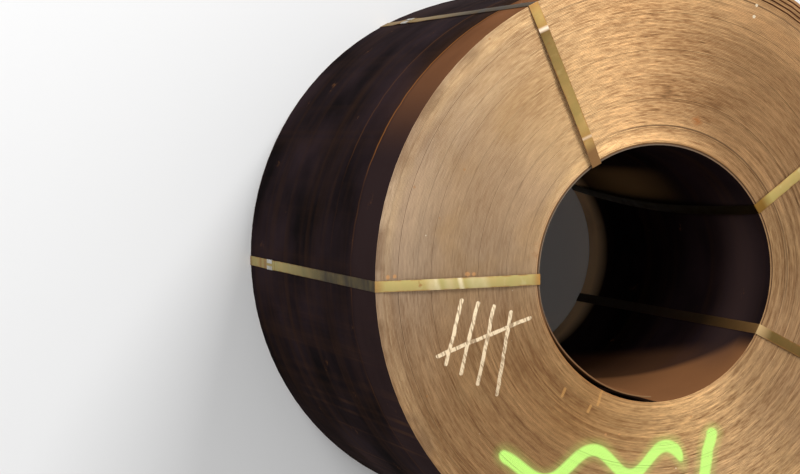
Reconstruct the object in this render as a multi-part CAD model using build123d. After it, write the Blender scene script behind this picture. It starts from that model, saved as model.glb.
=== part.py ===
from build123d import *
import os
from math import cos, pi, radians, sin, tan

# A hot rolled steel coil stored on its end, with its bore upright, held by four flat steel bands.
# Millimetres and degrees. The origin is on the coil's axis at floor level, and +Z is up.
# Angles run anticlockwise seen from above, from +X. The loose ends of the strip show on the upper end.

# Strip and winding
bore_radius = 381.0
strip_width = 1294.0
strip_thickness = 4.0
turn_pitch = 4.01
# Turns in each group that was wound evenly, from the bore outwards, and how far each group sits up or down
group_turns = (3, 10, 13, 8, 14, 9, 12, 15, 11, 14, 11, 6)
group_steps = (0, -4, 2, -3, 4, 1, -2, 3, -1, 4, -4, 0)
group_step = 0.6

# Inner end of the strip, loose in the bore, with the wall past it eased back to the bore
inner_loose_from = 184.0
inner_end_angle = 267.0
inner_ease_end = 307.0
inner_gap = 9.0
# How much of the gap is open half way along the loose end, and of the wall's step half way along its ease
inner_gap_half_way = 0.68
inner_ease_half_way = 0.62

# Outer turns, sprung apart between two of the bands in layers of a few turns
sprung_from = 112.0
sprung_peak = 60.0
sprung_to = 38.0
sprung_layers = 4
sprung_layer_turns = 2
sprung_gap = 4.5
sprung_gap_from = 98.0
sprung_gap_to = 43.0

# Outer end of the strip, one thickness proud of the turn below
outer_end_angle = 12.0

# Flat steel bands
band_width = 31.75
band_thickness = 1.0
band_gap = 0.3
band_bend = 0.7
leg_overlap = 1.5

# Lapped ends of a band and the seal crimped round them, on the outside of the coil near its lower end
lap_bottom = 190.0
lap_length = 110.0
lap_slope_length = 60.0
seal_length = 57.0
seal_wall = 1.2
seal_play = 0.15
seal_mouth = 9.0
crimp_width = 9.0
crimp_root_width = 4.5
crimp_depth = 4.0
crimp_pitch = 22.0

# The slack band stands off the upper end: heights at two kinks and at the bore, and the kinks' places
slack_kink_place = 70.0
slack_kink_height = 5.0
slack_crown_place = 420.0
slack_crown_height = 13.0
slack_bore_height = 6.0

# Each band's angle on the outside and its angle in the bore
bands = {
    "upper_left": (117.1, 122.1),
    "left": (181.1, 181.1),
    "upper_right": (33.6, 29.4),
    "lower_right": (-27.3, -27.3),
}
slack_band = "upper_left"

# Worked out from the sizes above
outside_radius = bore_radius + sum(group_turns) * turn_pitch
strip_bottom = band_thickness - min(group_steps) * group_step
upper_end = strip_bottom + strip_width + max(group_steps) * group_step
sprung_pitch = sprung_layer_turns * strip_thickness + sprung_gap
cut_margin = 20.0


def on_circle(radius, angle):
    return Vector(radius * cos(radians(angle)), radius * sin(radians(angle)))


def through_width(outline):
    # A shape drawn on the floor, taken up through the whole coil and past both of its ends
    shape = extrude(make_face(outline), amount=upper_end + 2 * cut_margin)
    return Pos(0, 0, -cut_margin) * shape


def wound_body():
    lower = []
    upper = []
    radius = bore_radius
    for count, step in zip(group_turns, group_steps):
        grown = radius + count * turn_pitch
        bottom = strip_bottom + step * group_step
        lower += [(radius, bottom), (grown, bottom)]
        upper += [(radius, bottom + strip_width), (grown, bottom + strip_width)]
        radius = grown
    profile = make_face(Polyline(*lower, *reversed(upper), close=True))
    return revolve(Plane.XZ * profile, Axis.Z)


def inner_end_cut():
    # The crescent behind the loose inner end, and the wall past it
    behind = bore_radius + strip_thickness
    wall = behind + inner_gap
    inside = bore_radius - cut_margin
    loose_middle = (inner_loose_from + inner_end_angle) / 2
    ease_middle = (inner_end_angle + inner_ease_end) / 2
    return through_width(
        [
            RadiusArc(on_circle(behind, inner_loose_from), on_circle(behind, inner_end_angle), -behind),
            Line(on_circle(behind, inner_end_angle), on_circle(inside, inner_end_angle)),
            RadiusArc(on_circle(inside, inner_end_angle), on_circle(inside, inner_ease_end), -inside),
            Line(on_circle(inside, inner_ease_end), on_circle(bore_radius, inner_ease_end)),
            ThreePointArc(
                on_circle(bore_radius, inner_ease_end),
                on_circle(bore_radius + (wall - bore_radius) * inner_ease_half_way, ease_middle),
                on_circle(wall, inner_end_angle),
            ),
            ThreePointArc(
                on_circle(wall, inner_end_angle),
                on_circle(behind + inner_gap * inner_gap_half_way, loose_middle),
                on_circle(behind, inner_loose_from),
            ),
        ]
    )


def lift_share(angle):
    # How far the sprung turns stand out at an angle, as a share of their greatest lift
    foot = sprung_from if angle > sprung_peak else sprung_to
    return (1 + cos(pi * (angle - sprung_peak) / (foot - sprung_peak))) / 2


def sprung_curve(lift, start, end, settled=0.0, arcs=5):
    # Arcs through points on the curve that a sprung turn follows, resting on what is settled at its end
    points = []
    for i in range(2 * arcs + 1):
        share = i / (2 * arcs)
        angle = start + (end - start) * share
        points.append(on_circle(outside_radius + settled * share + lift * lift_share(angle), angle))
    return [ThreePointArc(*points[2 * i : 2 * i + 3]) for i in range(arcs)]


def sprung_turns():
    # The sprung layers as one, and the last turn from there to the end of the strip
    inside = outside_radius - strip_thickness
    proud = outside_radius + strip_thickness
    lift = sprung_layers * sprung_pitch
    outline = sprung_curve(lift, sprung_from, sprung_to, settled=strip_thickness)
    outline += [
        RadiusArc(on_circle(proud, sprung_to), on_circle(proud, outer_end_angle), proud),
        Line(on_circle(proud, outer_end_angle), on_circle(inside, outer_end_angle)),
        RadiusArc(on_circle(inside, outer_end_angle), on_circle(inside, sprung_from), -inside),
        Line(on_circle(inside, sprung_from), on_circle(outside_radius, sprung_from)),
    ]
    bottom = strip_bottom + group_steps[-1] * group_step
    return Pos(0, 0, bottom) * extrude(make_face(outline), amount=strip_width)


def sprung_gap_cut(index):
    # The gap under one sprung layer
    inner = sprung_curve(index * sprung_pitch, sprung_gap_from, sprung_gap_to)
    outer = sprung_curve(index * sprung_pitch + sprung_gap, sprung_gap_from, sprung_gap_to)
    ends = [Line(inner[0] @ 0, outer[0] @ 0), Line(inner[-1] @ 1, outer[-1] @ 1)]
    return through_width(inner + outer + ends)


def coil():
    body = wound_body() - inner_end_cut() + sprung_turns()
    for index in range(sprung_layers):
        body -= sprung_gap_cut(index)
    return body.solid()


def outer_rest(name):
    # What a band lies on outside: the end of the strip, where it passes over that
    over_end = outer_end_angle < bands[name][0] < sprung_to
    return outside_radius + (strip_thickness if over_end else 0.0)


def bore_rest():
    # A flat band touches the round bore along its two edges
    return (bore_radius**2 - (band_width / 2) ** 2) ** 0.5


def end_run(name):
    # The line of a band across an end of the coil, from the outside to the bore, at floor level
    outer_angle, bore_angle = bands[name]
    start = on_circle(outer_rest(name) + band_gap, outer_angle)
    finish = on_circle(bore_rest() - band_gap, bore_angle)
    along = (finish - start).normalized()
    plane = Plane(origin=start, x_dir=along, z_dir=along.cross(Vector(0, 0, 1)))
    outer_skew = along.get_angle(on_circle(-1, outer_angle))
    bore_skew = along.get_angle(on_circle(-1, bore_angle))
    return plane, (finish - start).length, outer_skew, bore_skew


def skew_reach(skew):
    # How far a corner of a band's square end lies past its middle, on a run that meets the edge at an angle
    return band_width / 2 * tan(radians(skew))


def band_strip(plane, path):
    return extrude(plane * trace(path, line_width=band_thickness), amount=band_width / 2, both=True)


def upright_run(angle, points, radii):
    # A run of band up the coil, from points of (distance from the axis, height)
    radial = on_circle(1, angle)
    plane = Plane(origin=(0, 0, 0), x_dir=radial, z_dir=radial.cross(Vector(0, 0, 1)))
    return band_strip(plane, FilletPolyline(*points, radius=radii))


def band_heights(name):
    # The middle of a band's thickness under the coil, over it, and over it at the bore
    upper = upper_end + band_gap + band_thickness / 2
    at_bore = upper + (slack_bore_height if name == slack_band else 0.0)
    return band_thickness / 2, upper, at_bore


def lap_radius(name):
    # The middle of the inner of the two lapped layers, clear of the seal's wall behind it
    return outer_rest(name) + band_gap + seal_wall + seal_play + band_thickness / 2


def outer_run(name, leg):
    lower, upper, _ = band_heights(name)
    close = outer_rest(name) + band_gap + band_thickness / 2
    bulged = lap_radius(name)
    bend = band_bend + band_thickness / 2
    ease = lap_slope_length / 2
    lap_top = lap_bottom + lap_length
    points = [
        (close - leg, lower),
        (close, lower),
        (close, lap_bottom - lap_slope_length),
        (bulged, lap_bottom),
        (bulged, lap_top),
        (close, lap_top + lap_slope_length),
        (close, upper),
        (close - leg, upper),
    ]
    return upright_run(bands[name][0], points, (bend, ease, ease, ease, ease, bend))


def bore_run(name, leg):
    lower, _, at_bore = band_heights(name)
    radius = bore_rest() - band_gap - band_thickness / 2
    bend = band_bend + band_thickness / 2
    points = [(radius + leg, lower), (radius, lower), (radius, at_bore), (radius + leg, at_bore)]
    return upright_run(bands[name][1], points, (bend, bend))


def lap_plane(name):
    # On the joint between the two lapped layers, half way along the lap: X is up the coil, Z is outwards
    radial = on_circle(1, bands[name][0])
    centre = radial * (lap_radius(name) + band_thickness / 2)
    return Plane(origin=centre + Vector(0, 0, lap_bottom + lap_length / 2), x_dir=(0, 0, 1), z_dir=radial)


def crimps(name):
    # Notches bitten into both edges of the seal and of the lapped band
    edge = band_width / 2
    reach = edge + seal_play + seal_wall
    half_stack = band_thickness + seal_play + seal_wall
    notches = []
    for side in (-1, 1):
        for place in (-crimp_pitch / 2, crimp_pitch / 2):
            outline = Polyline(
                (place - crimp_width / 2, side * reach),
                (place + crimp_width / 2, side * reach),
                (place + crimp_root_width / 2, side * (edge - crimp_depth)),
                (place - crimp_root_width / 2, side * (edge - crimp_depth)),
                close=True,
            )
            notch = extrude(lap_plane(name) * make_face(outline), amount=2 * half_stack, both=True)
            notches.append(notch)
    return notches


def band(name):
    plane, length, outer_skew, bore_skew = end_run(name)
    lower, upper, at_bore = band_heights(name)
    outer_inset = band_bend + skew_reach(outer_skew)
    bore_inset = band_bend + skew_reach(bore_skew)
    outer_leg = outer_inset + skew_reach(outer_skew) + leg_overlap
    bore_leg = bore_inset + skew_reach(bore_skew) + leg_overlap
    crossing = [(outer_inset, upper), (length - bore_inset, at_bore)]
    if name == slack_band:
        crossing[1:1] = [
            (outer_leg, upper),
            (slack_kink_place, upper + slack_kink_height),
            (slack_crown_place, upper + slack_crown_height),
            (length - bore_leg, at_bore),
        ]
    loop = outer_run(name, outer_leg)
    loop += bore_run(name, bore_leg)
    loop += band_strip(plane, Polyline(*crossing))
    loop += band_strip(plane, Line((outer_inset, lower), (length - bore_inset, lower)))
    loop += lap_plane(name) * Pos(0, 0, band_thickness / 2) * Box(lap_length, band_width, band_thickness)
    for notch in crimps(name):
        loop -= notch
    return loop.solid()


def seal(name):
    # A sleeve folded round both layers, its two edges facing each other on the outside
    hollow_width = band_width + 2 * seal_play
    hollow_depth = 2 * (band_thickness + seal_play)
    sleeve = Box(seal_length, hollow_width + 2 * seal_wall, hollow_depth + 2 * seal_wall)
    sleeve -= Box(seal_length, hollow_width, hollow_depth)
    mouth = Box(seal_length, seal_mouth, seal_wall)
    sleeve -= Pos(0, 0, (hollow_depth + seal_wall) / 2) * mouth
    sleeve = lap_plane(name) * sleeve
    for notch in crimps(name):
        sleeve -= notch
    return sleeve.solid()


os.makedirs("parts", exist_ok=True)
export_step(coil(), "parts/coil.step")
for band_name in bands:
    export_step(band(band_name), f"parts/strap_{band_name}.step")
    export_step(seal(band_name), f"parts/seal_{band_name}.step")
print("outside diameter", 2 * outside_radius, "turns", sum(group_turns), "upper end", upper_end)
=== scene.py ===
import bmesh
import bpy
import math
import random
from mathutils import Matrix, Vector, noise


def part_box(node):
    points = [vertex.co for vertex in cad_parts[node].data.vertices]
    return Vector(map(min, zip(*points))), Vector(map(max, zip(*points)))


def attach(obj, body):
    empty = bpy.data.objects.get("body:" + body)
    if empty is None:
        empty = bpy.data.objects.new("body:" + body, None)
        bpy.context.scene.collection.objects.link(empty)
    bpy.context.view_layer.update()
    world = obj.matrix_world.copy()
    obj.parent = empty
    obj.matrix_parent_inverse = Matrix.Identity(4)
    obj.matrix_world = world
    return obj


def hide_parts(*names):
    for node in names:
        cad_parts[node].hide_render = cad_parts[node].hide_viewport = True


# Steel coil standing on its end, in metres. The loose ends of the strip show on the upper end.
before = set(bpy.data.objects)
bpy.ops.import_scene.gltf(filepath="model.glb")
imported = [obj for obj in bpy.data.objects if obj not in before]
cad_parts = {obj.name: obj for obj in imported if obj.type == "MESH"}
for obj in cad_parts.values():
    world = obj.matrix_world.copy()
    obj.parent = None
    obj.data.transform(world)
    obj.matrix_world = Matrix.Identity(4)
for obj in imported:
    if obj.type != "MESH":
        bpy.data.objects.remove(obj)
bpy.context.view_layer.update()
coilLow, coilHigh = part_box("coil")
coilMiddle = (coilLow.z + coilHigh.z) / 2
print("frame loaded, coil", round(coilHigh.x - coilLow.x, 3), "m across")


# Node helpers

class Wire:
    # one output of a node, where a sum such as 1 - wire makes a math node in the same tree
    def __init__(self, tree, socket):
        self.tree, self.socket = tree, socket

    def __add__(self, other):
        return calc("ADD", self, other)

    def __sub__(self, other):
        return calc("SUBTRACT", self, other)

    def __rsub__(self, other):
        return calc("SUBTRACT", other, self)

    def __mul__(self, other):
        return calc("MULTIPLY", self, other)

    def __truediv__(self, other):
        return calc("DIVIDE", self, other)

    def __abs__(self):
        return calc("ABSOLUTE", self)


class Outputs:
    # a node's outputs as wires, by number or name
    def __init__(self, tree, node):
        self.tree, self.node = tree, node

    def __getitem__(self, name):
        return Wire(self.tree, pick(self.node.outputs, name))


def pick(sockets, name):
    # by number, or the one with that name that the node's mode shows
    if isinstance(name, int):
        return sockets[name]
    return next(socket for socket in sockets if socket.name == name and socket.enabled)


def fill(tree, sockets, values):
    for name, value in values.items():
        socket = pick(sockets, name)
        if isinstance(value, Wire):
            tree.links.new(value.socket, socket)
        else:
            opaque = socket.type == "RGBA" and len(value) == 3
            socket.default_value = (*value, 1.0) if opaque else value


def put(tree, kind, inputs=None, **settings):
    node = tree.nodes.new(kind)
    for name, value in settings.items():
        setattr(node, name, value)
    fill(tree, node.inputs, inputs or {})
    return Outputs(tree, node)


def treeOf(values):
    return next(value.tree for value in values if isinstance(value, Wire))


def calc(operation, *values):
    return put(treeOf(values), "ShaderNodeMath", dict(enumerate(values)), operation=operation)[0]


def most(value, *others):
    for other in others:
        value = calc("MAXIMUM", value, other)
    return value


def remap(value, fromLow, fromHigh, toLow=0.0, toHigh=1.0, ease="LINEAR"):
    return put(value.tree, "ShaderNodeMapRange", {
        "Value": value, "From Min": fromLow, "From Max": fromHigh, "To Min": toLow, "To Max": toHigh,
    }, interpolation_type=ease)[0]


def eased(value, *spans):
    return remap(value, *spans, ease="SMOOTHSTEP")


def vectorCalc(operation, *values, **named):
    inputs = {**dict(enumerate(values)), **socketNames(named, named)}
    outputs = put(treeOf(values), "ShaderNodeVectorMath", inputs, operation=operation)
    return outputs["Value" if operation in ("LENGTH", "DISTANCE", "DOT_PRODUCT") else "Vector"]


def split(place):
    return put(place.tree, "ShaderNodeSeparateXYZ", {0: place})


def joined(*parts):
    return put(treeOf(parts), "ShaderNodeCombineXYZ", dict(enumerate(parts)))[0]


def noiseAt(place, scale, detail, rough=0.5, lacunarity=2.0):
    return put(place.tree, "ShaderNodeTexNoise", {
        "Vector": place, "Scale": scale, "Detail": detail, "Roughness": rough, "Lacunarity": lacunarity,
    })[0]


def noiseAlong(run, perUnit, detail, rough=0.6):
    return put(run.tree, "ShaderNodeTexNoise", {
        "W": run * perUnit, "Scale": 1.0, "Detail": detail, "Roughness": rough,
    }, noise_dimensions="1D")[0]


def swing(noiseValue, amount):
    # noise about 0
    return (noiseValue - 0.5) * amount


def newTree(kind, name, inputs, outputs):
    # inputs and outputs by name, each a default number or a kind of socket
    tree = bpy.data.node_groups.new(name, kind)
    for way, rows in (("INPUT", inputs), ("OUTPUT", outputs)):
        for label, value in rows.items():
            socketKind = value if isinstance(value, str) else type(value).__name__.capitalize()
            socket = tree.interface.new_socket(name=label, in_out=way, socket_type="NodeSocket" + socketKind)
            if value != socketKind:
                socket.default_value = value
    return tree, Outputs(tree, tree.nodes.new("NodeGroupInput")), tree.nodes.new("NodeGroupOutput").inputs


def socketNames(sizes, names):
    # sizes by the names of their sockets, such as First Radius for firstRadius
    def label(name):
        return "".join(" " + letter if letter.isupper() else letter for letter in name).title()

    return {label(name): sizes[name] for name in names}


def linkToScene(name, content):
    piece = bpy.data.objects.new(name, content)
    bpy.context.scene.collection.objects.link(piece)
    return piece


def meshFromNodes(name, base, tree, values):
    # runs the tree on the base mesh and keeps the result as a plain mesh
    piece = linkToScene(name, base)
    modifier = piece.modifiers.new("build", "NODES")
    modifier.node_group = tree
    for item in tree.interface.items_tree:
        if item.in_out == "INPUT" and item.name in values:
            modifier[item.identifier] = values[item.name]
    graph = bpy.context.evaluated_depsgraph_get()
    made = bpy.data.meshes.new_from_object(
        piece.evaluated_get(graph), preserve_all_data_layers=True, depsgraph=graph
    )
    piece.modifiers.clear()
    piece.data = made
    made.name = name
    bpy.data.meshes.remove(base)
    return piece


def stopLine(places, numbers, vectors=None):
    # a mesh of loose points with their values, which a tree reads by name
    line = bpy.data.meshes.new("stops")
    line.from_pydata([tuple(place) for place in places], [], [])
    for name, values in numbers.items():
        line.attributes.new(name, "FLOAT", "POINT").data.foreach_set("value", values)
    for name, values in (vectors or {}).items():
        flat = [number for value in values for number in value]
        line.attributes.new(name, "FLOAT_VECTOR", "POINT").data.foreach_set("vector", flat)
    return line


def sampled(stops, name, at, kind="FLOAT"):
    # what a line of stops holds under a name at one of them
    value = put(at.tree, "GeometryNodeInputNamedAttribute", {"Name": name}, data_type=kind)[0]
    return put(at.tree, "GeometryNodeSampleIndex", {
        "Geometry": stops, "Value": value, "Index": at,
    }, data_type=kind, clamp=True)[0]


def stored(geometry, name, value, kind="FLOAT"):
    return put(geometry.tree, "GeometryNodeStoreNamedAttribute", {
        "Geometry": geometry, "Name": name, "Value": value,
    }, data_type=kind, domain="POINT")[0]


def sweep(line, width, height, edgeRound, roundSteps):
    # a solid of rounded rectangular section along a line
    tree = line.tree
    path = put(tree, "GeometryNodeMeshToCurve", {0: line})[0]
    path = put(tree, "GeometryNodeSetCurveNormal", {0: path}, mode="Z_UP")[0]
    section = put(tree, "GeometryNodeCurvePrimitiveQuadrilateral", {"Width": width, "Height": height})[0]
    section = put(tree, "GeometryNodeFilletCurve", {
        "Curve": section, "Radius": edgeRound, "Count": roundSteps,
    }, mode="POLY")[0]
    return put(tree, "GeometryNodeCurveToMesh", {
        "Curve": path, "Profile Curve": section, "Fill Caps": True,
    })[0]


# Patterns that the materials share

patternLook = {
    "speckCore": 0.6,  # the share of a speck that is full
    "rustDark": (0.13, 0.045, 0.014),
    "rustBright": (0.46, 0.19, 0.055),
    "rustDetail": 6.0, "rustRough": 0.68,
    "grainScale": 420.0, "grainDetail": 2.0, "grainShare": 0.16,
    "rustStart": 0.72, "startPerAmount": 0.32, "rustSoft": 0.1,
    "waverScale": 22.0,
}


def objectPlace(tree):
    return put(tree, "ShaderNodeTexCoord")["Object"]


def flattened(place):
    x, y, _ = split(place)
    return joined(x, y)


def blend(share, first, second, mode="MIX"):
    inputs = {0: share, 6: first, 7: second}
    return put(treeOf(inputs.values()), "ShaderNodeMix", inputs, data_type="RGBA", blend_type=mode)[2]


def ringGroup():
    # where a point is round the coil, and noise drawn out along the turns
    tree, given, made = newTree("ShaderNodeTree", "ringPattern", {
        "Along": 6.0, "Across": 260.0, "Detail": 2.0, "Shift": 0.0,
    }, {"Noise": "Float", "Radius": "Float", "Angle": "Float", "Height": "Float"})
    x, y, height = split(objectPlace(tree))
    flat = joined(x, y)
    radius = vectorCalc("LENGTH", flat)
    drawnX, drawnY, _ = split(vectorCalc("SCALE", vectorCalc("NORMALIZE", flat), scale=given["Along"]))
    point = joined(drawnX, drawnY, radius * given["Across"] + given["Shift"])
    fill(tree, made, {
        "Noise": noiseAt(point, 1.0, given["Detail"], 0.6), "Radius": radius,
        "Angle": calc("ARCTAN2", y, x), "Height": height,
    })
    return tree


def speckGroup():
    # small round specks on a share of the cells of a grid
    tree, given, made = newTree("ShaderNodeTree", "specks", {
        "Cells": 30.0, "Size": 0.1, "Share": 0.2, "Shift": 0.0,
    }, {"Mask": "Float"})
    moved = vectorCalc("ADD", objectPlace(tree), given["Shift"])
    cells = put(tree, "ShaderNodeTexVoronoi", {"Vector": moved, "Scale": given["Cells"]})
    dot = remap(cells["Distance"] / given["Size"], patternLook["speckCore"], 1.0, 1.0, 0.0)
    chosen = calc("LESS_THAN", split(cells["Color"])[0], given["Share"])
    fill(tree, made, {"Mask": dot * chosen})
    return tree


def rustGroup():
    # blotches of rust with ragged edges
    look = patternLook
    tree, given, made = newTree("ShaderNodeTree", "rustPatches", {
        "Scale": 8.0, "Amount": 0.3,
    }, {"Mask": "Float", "Color": "Color"})
    place = objectPlace(tree)
    grain = noiseAt(place, look["grainScale"], look["grainDetail"])
    broad = noiseAt(place, given["Scale"], look["rustDetail"], look["rustRough"])
    level = swing(grain, look["grainShare"]) + broad
    start = look["rustStart"] - given["Amount"] * look["startPerAmount"]
    fill(tree, made, {
        "Mask": eased(level, start, start + look["rustSoft"]),
        "Color": blend(grain, look["rustDark"], look["rustBright"]),
    })
    return tree


def strokeGroup():
    # how near a point is to a straight stroke drawn on the upper end, as a mask that is 1 on the stroke
    tree, given, made = newTree("ShaderNodeTree", "stroke", {
        "Start": "Vector", "End": "Vector", "Half Width": 0.005, "Soft Edge": 0.002, "Waver": 0.0,
    }, {"Mask": "Float", "Distance": "Float"})
    flat = flattened(objectPlace(tree))
    shake = put(tree, "ShaderNodeTexNoise", {
        "Vector": flat, "Scale": patternLook["waverScale"], "Detail": 1.0,
    })["Color"]
    shake = vectorCalc("SCALE", vectorCalc("SUBTRACT", shake, (0.5, 0.5, 0.5)), scale=given["Waver"])
    reach = vectorCalc("SUBTRACT", flattened(vectorCalc("ADD", flat, shake)), given["Start"])
    run = vectorCalc("SUBTRACT", given["End"], given["Start"])
    share = remap(vectorCalc("DOT_PRODUCT", reach, run) / vectorCalc("DOT_PRODUCT", run, run), 0.0, 1.0)
    away = vectorCalc("DISTANCE", reach, vectorCalc("SCALE", run, scale=share))
    mask = remap(away - given["Half Width"], 0.0, given["Soft Edge"], 1.0, 0.0)
    fill(tree, made, {"Mask": mask, "Distance": away})
    return tree


ringPattern = ringGroup()
specks = speckGroup()
rustPatches = rustGroup()
stroke = strokeGroup()


def useGroup(tree, group, **values):
    return put(tree, "ShaderNodeGroup", socketNames(values, values), node_tree=group)


def ring(tree, along, across, detail=2.0, shift=0.0):
    return useGroup(tree, ringPattern, along=along, across=across, detail=detail, shift=shift)


def lobe(angle, centre, half):
    # 1 at an angle round the coil, down to 0 half its width away, both in degrees
    turned = calc("COSINE", angle - math.radians(centre))
    return eased(turned, math.cos(math.radians(half)), 1.0)


def ringAt(radius, centre, half, share=1.0):
    return eased(abs(radius - centre), 0.0, half, share, 0.0)


def rusted(colour, scale, amount, share):
    rust = useGroup(colour.tree, rustPatches, scale=scale, amount=amount)
    return blend(rust["Mask"] * share, colour, rust["Color"]), rust["Mask"]


def speckled(colour, cells, size, share, shift, speckColour, strength):
    mask = useGroup(colour.tree, specks, cells=cells, size=size, share=share, shift=shift)["Mask"]
    return blend(mask * strength, colour, speckColour)


def attribute(tree, name):
    return put(tree, "ShaderNodeAttribute", attribute_name=name)["Fac"]


def bump(height, strength, distance):
    inputs = {"Height": height, "Strength": strength, "Distance": distance}
    return put(height.tree, "ShaderNodeBump", inputs)[0]


def newMaterial(name):
    material = bpy.data.materials.new(name)
    material.use_nodes = True
    tree = material.node_tree
    tree.nodes.clear()
    shader = put(tree, "ShaderNodeBsdfPrincipled")
    put(tree, "ShaderNodeOutputMaterial", {"Surface": shader[0]})
    return material, tree, shader.node.inputs


# Marks on the upper end

chalkLook = {
    # a tally, each stroke from and to a place on the end
    "strokes": (
        ((-0.622, -0.061), (-0.671, -0.244)), ((-0.573, -0.071), (-0.625, -0.274)),
        ((-0.523, -0.081), (-0.572, -0.305)), ((-0.470, -0.100), (-0.513, -0.337)),
        ((-0.696, -0.220), (-0.410, -0.119)),
    ),
    "halfWidth": 0.0048, "softEdge": 0.0015, "waver": 0.006, "colour": (0.98, 0.80, 0.54), "share": 0.95,
    # the chalk skips along the strip, and between turns
    "skips": (0.38, 0.50, 0.35, 1.0), "betweenTurns": (0.28, 0.42, 1.0, 0.3),
}

sprayLook = {
    # a sprayed wave, and a dash beside it
    "from": -0.488, "to": 0.072, "middle": -0.556, "height": 0.040, "length": 0.270,
    "start": 0.6, "uneven": 0.45, "unevenPace": 0.37,
    "dash": (((0.187, -0.488), (0.172, -0.535)), ((0.172, -0.535), (0.163, -0.620))), "dashWaver": 0.008,
    "halfWidth": 0.0125, "softEdge": 0.012, "haze": 0.035, "hazeShare": 0.22,
    "colour": (0.59, 0.96, 0.215), "share": 0.94,
}

patchLook = {"softEdge": 0.016, "waver": 0.03, "broken": (0.35, 0.6, 0.4, 1.0)}  # broken up along the strip

# rust spots, chips, patches on the outer turns and at the bore, and places scratched bright, each stroke as
# (start, end if it has one, half width)
endMarks = (
    {"colour": (0.62, 0.32, 0.13), "share": 0.75, "softEdge": 0.003, "waver": 0.012, "strokes": (
        ((-0.848, 0.010), None, 0.0045), ((-0.826, 0.011), None, 0.0045), ((-0.604, 0.014), None, 0.0055),
        ((-0.586, 0.012), None, 0.004), ((-0.119, -0.473), None, 0.002), ((-0.165, -0.470), None, 0.002),
    )},
    {"colour": (0.80, 0.70, 0.52), "share": 0.9, "softEdge": 0.002, "waver": 0.006, "strokes": (
        ((0.328, 0.798), None, 0.0035), ((0.318, 0.765), None, 0.004),
    )},
    {**patchLook, "colour": (0.17, 0.085, 0.040), "share": 0.55, "strokes": (
        ((-0.872, 0.125), (-0.880, 0.040), 0.010),
    )},
    {**patchLook, "colour": (0.62, 0.45, 0.29), "share": 0.40, "strokes": (
        ((-0.838, 0.262), (-0.862, 0.165), 0.008),
    )},
    {**patchLook, "colour": (0.36, 0.125, 0.032), "share": 1.0, "strokes": (
        ((0.127, 0.451), (0.131, 0.452), 0.0005),
    )},
    {"colour": (0.66, 0.36, 0.12), "share": 0.6, "softEdge": 0.003, "waver": 0.004, "strokes": (
        ((-0.179, -0.345), (-0.191, -0.383), 0.0026), ((-0.298, -0.331), (-0.307, -0.352), 0.0026),
        ((-0.214, -0.385), (-0.224, -0.402), 0.0026),
    )},
)


def strokesMask(tree, strokes, softEdge, waver):
    return most(*[useGroup(
        tree, stroke, start=(*start, 0), end=(*(end or start), 0),
        halfWidth=half, softEdge=softEdge, waver=waver,
    )["Mask"] for start, end, half in strokes])


def chalkMask(tree, look, turn, grain):
    strokes = [(start, end, look["halfWidth"]) for start, end in look["strokes"]]
    between = abs(calc("FRACT", turn) - 0.5)
    grip = remap(grain, *look["skips"]) * remap(between, *look["betweenTurns"])
    return strokesMask(tree, strokes, look["softEdge"], look["waver"]) * grip


def sprayMask(place, look):
    # by the distance from a line that goes up and down, measured straight up, less what its slope adds
    x, y, _ = split(place)
    phase = x * (math.tau / look["length"]) + look["start"]
    phase = phase + calc("SINE", phase * look["unevenPace"]) * look["uneven"]
    level = calc("SINE", phase) * look["height"] + look["middle"]
    slope = calc("COSINE", phase) * (look["height"] * math.tau / look["length"])
    aside = abs(y - level) / calc("SQRT", slope * slope + 1)
    past = most(look["from"] - x, x - look["to"], 0)
    off = calc("SQRT", past * past + aside * aside)
    for start, end in look["dash"]:
        dash = useGroup(place.tree, stroke, start=(*start, 0), end=(*end, 0), waver=look["dashWaver"])
        off = calc("MINIMUM", off, dash["Distance"])
    off = off - look["halfWidth"]
    haze = eased(off, 0.0, look["haze"], look["hazeShare"], 0.0)
    return most(eased(off, 0.0, look["softEdge"], 1.0, 0.0), haze)


# Materials

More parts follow.
